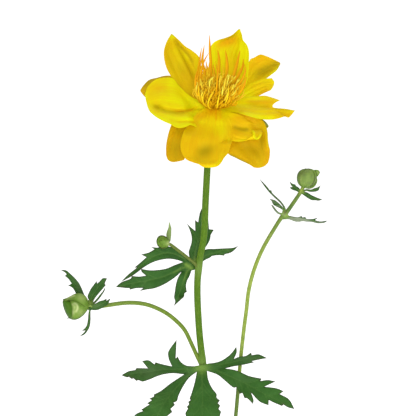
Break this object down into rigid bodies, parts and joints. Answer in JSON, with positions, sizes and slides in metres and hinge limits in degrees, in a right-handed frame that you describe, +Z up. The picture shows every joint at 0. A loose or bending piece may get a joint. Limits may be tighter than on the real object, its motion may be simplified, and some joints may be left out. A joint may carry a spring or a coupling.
{
  "type": "potted globeflower plant",
  "caption": "Potted bog plant: a tall thin stem with an open golden double flower, cut green leaves and round green buds, over low basal leaves in soil in a plain round clay pot.",
  "frame": {"origin": "centre of the pot's underside, on the surface that it stands on", "axes": "+Z up along the pot's axis, -Y the side that the open flower faces, +X to the right as seen from that side"},
  "size_m": [0.1672, 0.168, 0.338],
  "materials": {
    "clay": "matte",
    "soil": "matte",
    "stem": "satin",
    "thin_stem": "satin",
    "leaf": "satin",
    "bud": "satin",
    "sepal": "satin",
    "sepal_outer": "satin",
    "nectary": "satin"
  },
  "bodies": {
    "root": {"pot": "clay", "soil": "soil", "main_stem": "stem", "right_stem": "thin_stem", "side_stem_left": "thin_stem", "bud_stalk_middle": "thin_stem", "bract_middle": "thin_stem", "pistils": "nectary", "stamens": "nectary", "nectary_01": "nectary", "nectary_02": "nectary", "nectary_03": "nectary", "nectary_04": "nectary", "nectary_05": "nectary", "nectary_06": "nectary", "nectary_07": "nectary", "nectary_08": "nectary", "nectary_09": "nectary", "nectary_10": "nectary", "nectary_11": "nectary", "nectary_12": "nectary", "nectary_13": "nectary", "nectary_14": "nectary", "nectary_15": "nectary", "nectary_16": "nectary", "sepal_back_left": "sepal", "sepal_back_right": "sepal", "sepal_right_upper": "sepal", "sepal_right_middle": "sepal", "sepal_right_lower": "sepal", "sepal_right_outer": "sepal_outer", "sepal_front_right": "sepal", "sepal_front_inner": "sepal", "sepal_front": "sepal", "sepal_front_left": "sepal", "sepal_left": "sepal", "sepal_left_outer": "sepal", "bud_left": "bud", "bud_middle": "bud", "bud_right": "bud", "stem_leaf_lower": "leaf", "stem_leaf_upper": "leaf", "bract_leaf_left": "leaf", "bract_leaf_right_low": "leaf", "bract_leaf_right_top": "leaf", "basal_leaf_1": "leaf", "basal_leaf_2": "leaf", "basal_leaf_3": "leaf", "basal_leaf_4": "leaf", "basal_leaf_5": "leaf"}
  },
  "joints": []
}
